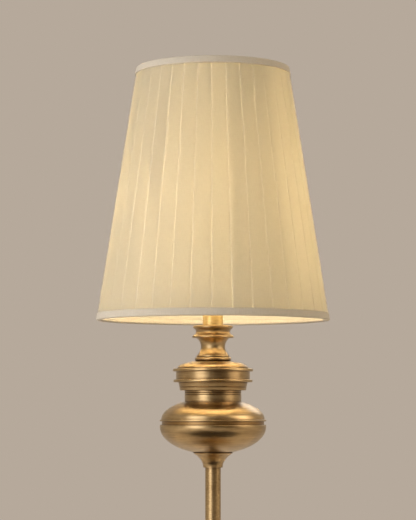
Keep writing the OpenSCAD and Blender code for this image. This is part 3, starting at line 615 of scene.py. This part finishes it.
# Heights of the cloth's layers above the lining, where three lie on each other
TUCK_START = 0.13 * MM
TUCK_LOW = 0.15 * MM
TUCK_HIGH = 0.43 * MM
FOLD_LOW = 0.53 * MM
FOLD_HIGH = 0.84 * MM
FACE_LOW = 0.74 * MM
FACE_HIGH = 0.92 * MM
FACE_ROLL = 2.6 * MM

# Points along each stretch of one pleat
GAP_STEPS = 4
FACE_STEPS = 6
ROLL_STEPS = 4
FOLD_STEPS = 6
UNDER_STEPS = 5

# Drift of each fold as (degrees, waves round the shade, lean up the shade, phase)
FOLD_DRIFT = ((0.22, 5, 0.0, 0.6), (0.16, 11, 2.0, 0.0), (0.10, 17, 5.0, 1.0))

# How far a pleat stands out, at the edges and between them
FULL_AT_EDGE = 0.8
FULL_BETWEEN = 0.22
FULL_WAVE = 0.10
FULL_WAVES = 7
FULL_LEAN = 3


def pleat_line(face):
    """Centreline of one knife pleat as (distance from its far edge, height).

    The face climbs over the next tuck, runs on and rolls over to the fold. Under it the
    cloth goes back to its tuck and returns, so all but a narrow gap is three layers.
    """
    fold_r = (FOLD_HIGH - FOLD_LOW) / 2
    tuck_r = (TUCK_HIGH - TUCK_LOW) / 2
    crest = face - fold_r - FACE_ROLL
    fold_at = face - fold_r
    tuck_at = PLEAT_GAP + tuck_r
    line = []
    for step in range(GAP_STEPS):
        share = step / GAP_STEPS
        climb = share * share * (3 - 2 * share)
        line.append((share * PLEAT_GAP, TUCK_START + (FACE_LOW - TUCK_START) * climb))
    for step in range(FACE_STEPS):
        share = step / FACE_STEPS
        line.append((
            PLEAT_GAP + share * (crest - PLEAT_GAP),
            FACE_LOW + (FACE_HIGH - FACE_LOW) * share,
        ))
    for step in range(ROLL_STEPS):
        share = step / ROLL_STEPS
        line.append((
            crest + share * FACE_ROLL,
            FACE_HIGH - (FACE_HIGH - FOLD_HIGH) * share ** 2,
        ))
    line += arc_points((fold_at, FOLD_LOW + fold_r), fold_r, 90, -90, FOLD_STEPS)
    for step in range(1, UNDER_STEPS):
        share = step / UNDER_STEPS
        line.append((
            fold_at + (tuck_at - fold_at) * share,
            FOLD_LOW + (TUCK_HIGH - FOLD_LOW) * share,
        ))
    line += arc_points((tuck_at, TUCK_LOW + tuck_r), tuck_r, 90, 270, FOLD_STEPS)
    for step in range(1, UNDER_STEPS):
        share = step / UNDER_STEPS
        line.append((
            tuck_at + (face - tuck_at) * share,
            TUCK_LOW + (TUCK_START - TUCK_LOW) * share,
        ))
    return line


def fold_angle(index, share):
    """Where fold number index lies round the shade, with the small drift of hand pleating."""
    turn = TAU * index / PLEATS
    drift = 0.0
    for degrees, waves, lean, phase in FOLD_DRIFT:
        drift += degrees * math.sin(waves * turn + lean * share + phase)
    return turn + PLEAT_PHASE + math.radians(drift)


def fullness(index, share):
    """How far a pleat stands out: pressed flat under the bindings, fuller between them."""
    between = math.sin(math.pi * share) ** 0.5
    wave = math.sin(FULL_WAVES * TAU * index / PLEATS + FULL_LEAN * share)
    return FULL_AT_EDGE + between * (FULL_BETWEEN + FULL_WAVE * wave)


def seat_r(z):
    """Radius that the cloth's lowest layer lies on."""
    inside_shade = shade_r(fabric_low.z) - fabric_high.x
    return shade_r(z) - inside_shade - CLOTH_ROOM + CLOTH_OFF_LINING


def cloth_rows():
    """Outer and inner points of the pleated cloth, one row for each height."""
    outer, inner = [], []
    for row in range(CLOTH_ROWS):
        share = row / (CLOTH_ROWS - 1)
        z = fabric_low.z + (fabric_high.z - fabric_low.z) * share
        seat = seat_r(z)
        line = []
        for index in range(PLEATS):
            start = fold_angle(index, share) * seat
            end = fold_angle(index + 1, share) * seat
            full = fullness(index, share)
            for along, height in reversed(pleat_line(end - start)):
                line.append((end - along, height * full))
        round_once = TAU * seat
        ends = [(line[-1][0] - round_once, line[-1][1])] + line
        ends += [(line[0][0] + round_once, line[0][1])]
        for rows, side in ((outer, CLOTH_T / 2), (inner, -CLOTH_T / 2)):
            moved = offset_line(ends, side, False)[1:-1]
            rows.append([polar(seat + height, along / seat, z) for along, height in moved])
    return outer, inner


cloth_outer, cloth_inner = cloth_rows()
pleated_shade = new_piece(
    "pleated_shade",
    thin_mesh("pleated_shade", cloth_outer, cloth_inner, False, True),
    pleat_cloth, "shade",
)
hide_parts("shade_fabric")

# ---------------------------------------------------------------- lining

LINER_COLUMNS = 180
LINER_ROWS = 12
LINER_START = math.pi / 2
LINER_CLIMB = 0.5


def lining_rows():
    """Outer and inner points of the stiff lining, which laps over itself at the back."""
    outer, inner = [], []
    turn = TAU + LINER_LAP / shade_r(liner_low.z)
    for row in range(LINER_ROWS):
        z = liner_low.z + (liner_high.z - liner_low.z) * row / (LINER_ROWS - 1)
        outside_r = shade_r(z) - LINER_INSIDE
        outer_row, inner_row = [], []
        for column in range(LINER_COLUMNS):
            share = column / (LINER_COLUMNS - 1)
            angle = LINER_START + turn * share
            climb = min(1.0, turn * share / LINER_CLIMB)
            into = (LINER_ROOM - LINER_T) * (1 - climb * climb * (3 - 2 * climb))
            outer_row.append(polar(outside_r - into, angle, z))
            inner_row.append(polar(outside_r - into - LINER_T, angle, z))
        outer.append(outer_row)
        inner.append(inner_row)
    return outer, inner


liner_outer, liner_inner = lining_rows()
lining = new_piece(
    "lining",
    thin_mesh("lining", liner_outer, liner_inner, False, False),
    lining_cloth, "shade",
)
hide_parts("shade_liner")

# ---------------------------------------------------------------- edge bindings


def binding_profile(across):
    """Centreline of a tape folded over an edge as (distance inwards, distance from the edge)."""
    skin = TAPE_T / 2
    inside = across - skin
    outer_centre = (skin + TAPE_OUTER_BEND, skin + TAPE_OUTER_BEND)
    inner_centre = (inside - TAPE_INNER_BEND, skin + TAPE_INNER_BEND)
    line = [(skin, TAPE_OUTER_LEG - skin)]
    line += [(skin, TAPE_OUTER_LEG * share) for share in (0.8, 0.55, 0.32)]
    line += arc_points(outer_centre, TAPE_OUTER_BEND, 180, 270, 6)
    line += [(across * 0.45, skin)]
    line += arc_points(inner_centre, TAPE_INNER_BEND, -90, 0, 6)
    line += [(inside, TAPE_INNER_LEG * 0.6), (inside, TAPE_INNER_LEG)]
    return line


def binding(name, edge_z, upwards):
    """A tape folded over one edge of the shade, lightly waved by the pleats under it."""
    line = binding_profile(TAPE_ACROSS + TAPE_ROOM)
    outer, inner = [], []
    for column in range(TAPE_COLUMNS):
        angle = TAU * column / TAPE_COLUMNS
        wave = TAPE_RIPPLE * math.sin(PLEATS * (angle - PLEAT_PHASE))
        wave += TAPE_WAVE * math.sin(TAPE_WAVES * angle)
        for rows, side in ((outer, -TAPE_T / 2), (inner, TAPE_T / 2)):
            row = []
            for inwards, away in offset_line(line, side, False):
                z = edge_z + upwards * away
                outside = max(0.0, 1 - inwards / RIPPLE_INWARDS)
                outside *= min(1.0, away / RIPPLE_FROM_EDGE)
                row.append(polar(shade_r(z) - inwards + wave * outside, angle, z))
            rows.append(row)
    mesh = thin_mesh(name, outer, inner, True, False)
    piece = new_piece(name, mesh, tape_cloth, "shade")
    return piece


bottom_binding = binding("bottom_binding", SHADE_FOOT, 1)
top_binding = binding("top_binding", SHADE_TOP, -1)
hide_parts("bottom_tape")
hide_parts("top_tape")

# ---------------------------------------------------------------- felt under the foot

FELT_SEGMENTS = 180
FELT_ROUND = 0.4 * MM
FELT_CENTRE = 1 * MM
FELT_RING = 0.6
FELT_CUT = 0.12 * MM
felt_low, felt_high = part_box("felt_pad")


def felt_mesh(name):
    """Felt disc with a soft edge and the slight unevenness of cut felt."""
    rings = [(FELT_CENTRE, felt_high.z), (FELT_RING * felt_high.x, felt_high.z)]
    rim = felt_high.x - FELT_ROUND
    rings += arc_points((rim, felt_high.z - FELT_ROUND), FELT_ROUND, 90, 0, 4)
    rings += arc_points((rim, felt_low.z + FELT_ROUND), FELT_ROUND, 0, -90, 4)
    rings += [(FELT_RING * felt_high.x, felt_low.z), (FELT_CENTRE, felt_low.z)]
    points = []
    for ring_r, z in rings:
        for step in range(FELT_SEGMENTS):
            angle = TAU * step / FELT_SEGMENTS
            cut = FELT_CUT * math.sin(23 * angle + 1) * math.sin(9 * angle)
            cut = min(0.0, cut - FELT_CUT) if ring_r > rim - MM else 0.0
            points.append(polar(ring_r + cut, angle, z))
    faces = grid_faces(0, len(rings), FELT_SEGMENTS, False, True)
    last = (len(rings) - 1) * FELT_SEGMENTS
    faces.append(tuple(range(FELT_SEGMENTS)))
    faces.append(tuple(range(last, last + FELT_SEGMENTS)))
    return closed_mesh(name, points, faces)


felt = new_piece("felt", felt_mesh("felt"), felt_nap, "stand")
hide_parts("felt_pad")

# ---------------------------------------------------------------- stage, light and camera

FLOOR_R = 2.3
BACKDROP = (0.468, 0.397, 0.328)
bulb_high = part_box("bulb_glass")[1]
GLOBE_R = bulb_high.x
GLOBE_AT = Vector((0, 0, bulb_high.z - GLOBE_R))
FILAMENT_DROP = 12 * MM
BULB_POWER = 3.2
BULB_COLOUR = (1.0, 0.82, 0.54)
BULB_SOFTNESS = 0.8
CARD_COLOUR = (0.02, 0.012, 0.007, 1.0)

# Room colours by how far a direction points to the dark side
DARK_SIDE = (0.25, -0.93, -0.27)
ROOM_STOPS = [
    (0.0, (0.46, 0.385, 0.29)), (0.5, (0.33, 0.265, 0.185)), (0.82, (0.045, 0.027, 0.014)),
]

# Place, aim, width, height, power and colour
LIGHTS = {
    "key": ((-0.98, -1.22, 0.72), (0, 0, 0.32), 1.0, 1.6, 13.0, (1.0, 0.98, 0.96)),
    "wash": ((-1.5, -0.6, 0.5), (0, 0, 0.45), 1.0, 1.0, 14.5, (1.0, 0.98, 0.97)),
    "fill": ((1.5, -0.5, 0.9), (0, 0, 0.35), 1.0, 1.2, 12.0, (1.0, 0.86, 0.68)),
    "back": ((0.4, 1.5, 1.3), (0, 0, 0.4), 1.4, 1.0, 8.0, (1.0, 0.96, 0.9)),
}
NOT_IN_REFLECTIONS = ["wash"]


def make_floor():
    """A plain pale floor, faintly cloudy."""
    material, tree, output = new_material("floor_plaster")
    grain = noise(tree, place(tree), 40.0, 4.0)
    principled(tree, output, {
        "Base Color": ramp(tree, grain, [
            (0.3, (0.57, 0.53, 0.48)), (0.7, (0.61, 0.57, 0.52)),
        ]),
        "Roughness": 0.9,
    })
    mesh = bpy.data.meshes.new("floor")
    disc = bmesh.new()
    bmesh.ops.create_circle(disc, cap_ends=True, segments=128, radius=FLOOR_R)
    disc.to_mesh(mesh)
    disc.free()
    floor = linked("floor", mesh)
    floor.data.materials.append(material)


def dark_card(name, at, width, depth):
    """A studio card that only shows as a dark reflection in the polished metal."""
    material, tree, output = new_material(name)
    principled(tree, output, {"Base Color": CARD_COLOUR, "Roughness": 0.9})
    mesh = bpy.data.meshes.new(name)
    x, y, z = at
    mesh.from_pydata([
        (x - width / 2, y - depth / 2, z), (x + width / 2, y - depth / 2, z),
        (x + width / 2, y + depth / 2, z), (x - width / 2, y + depth / 2, z),
    ], [], [(0, 1, 2, 3)])
    card = linked(name, mesh)
    card.data.materials.append(material)
    card.visible_camera = False
    card.visible_diffuse = False
    card.visible_transmission = False
    card.visible_shadow = False


def area_light(name, at, aim, width, height, power, colour):
    """A rectangular softbox that the camera doesn't see."""
    data = bpy.data.lights.new(name, "AREA")
    data.shape = "RECTANGLE"
    data.size = width
    data.size_y = height
    data.energy = power
    data.color = colour
    light = linked(name, data)
    light.location = at
    light.rotation_euler = (Vector(aim) - Vector(at)).to_track_quat("-Z", "Y").to_euler()
    light.visible_camera = False
    light.visible_glossy = name not in NOT_IN_REFLECTIONS


def bulb_light():
    """The lamp's own light, from a little under the middle of the bulb's globe."""
    data = bpy.data.lights.new("bulb_light", "POINT")
    data.energy = BULB_POWER
    data.color = BULB_COLOUR
    data.shadow_soft_size = GLOBE_R * BULB_SOFTNESS
    light = linked("bulb_light", data)
    light.location = GLOBE_AT - Vector((0, 0, FILAMENT_DROP))
    light.visible_camera = False
    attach(light, "bulb")
    for name in ("bulb_glass", "bulb_mount", "filament"):
        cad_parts[name].visible_shadow = False


def make_world():
    """Pale room, darker on the side where the camera stands."""
    world = bpy.data.worlds.new("room")
    bpy.context.scene.world = world
    world.use_nodes = True
    tree = world.node_tree
    tree.nodes.clear()
    out = add(tree, "OutputWorld")
    ray = add(tree, "TexCoord").outputs["Generated"]
    facing = add(tree, "VectorMath", {0: ray, 1: DARK_SIDE}, operation="DOT_PRODUCT")
    shade = ramp(tree, facing.outputs["Value"], ROOM_STOPS)
    room = add(tree, "Background", {"Color": shade, "Strength": 1.0})
    plain = add(tree, "Background", {"Color": (*BACKDROP, 1.0), "Strength": 1.0})
    seen = add(tree, "LightPath").outputs["Is Camera Ray"]
    mix = add(tree, "MixShader", {"Fac": seen, 1: room.outputs[0], 2: plain.outputs[0]})
    tree.links.new(mix.outputs[0], out.inputs["Surface"])


def make_camera():
    """The camera, low in front of the lamp and tilted a little upwards."""
    data = bpy.data.cameras.new("camera")
    data.lens = CAMERA_LENS
    camera = linked("camera", data)
    camera.location = CAMERA_AT
    camera.rotation_euler = (math.radians(90) + CAMERA_TILT, 0, 0)
    bpy.context.scene.camera = camera


make_floor()
make_world()
bulb_light()
dark_card("dark_card", (0.0, -0.30, 0.002), 0.56, 0.42)
for light_name, light_values in LIGHTS.items():
    area_light(light_name, *light_values)
make_camera()
bpy.context.scene.view_settings.view_transform = "Standard"
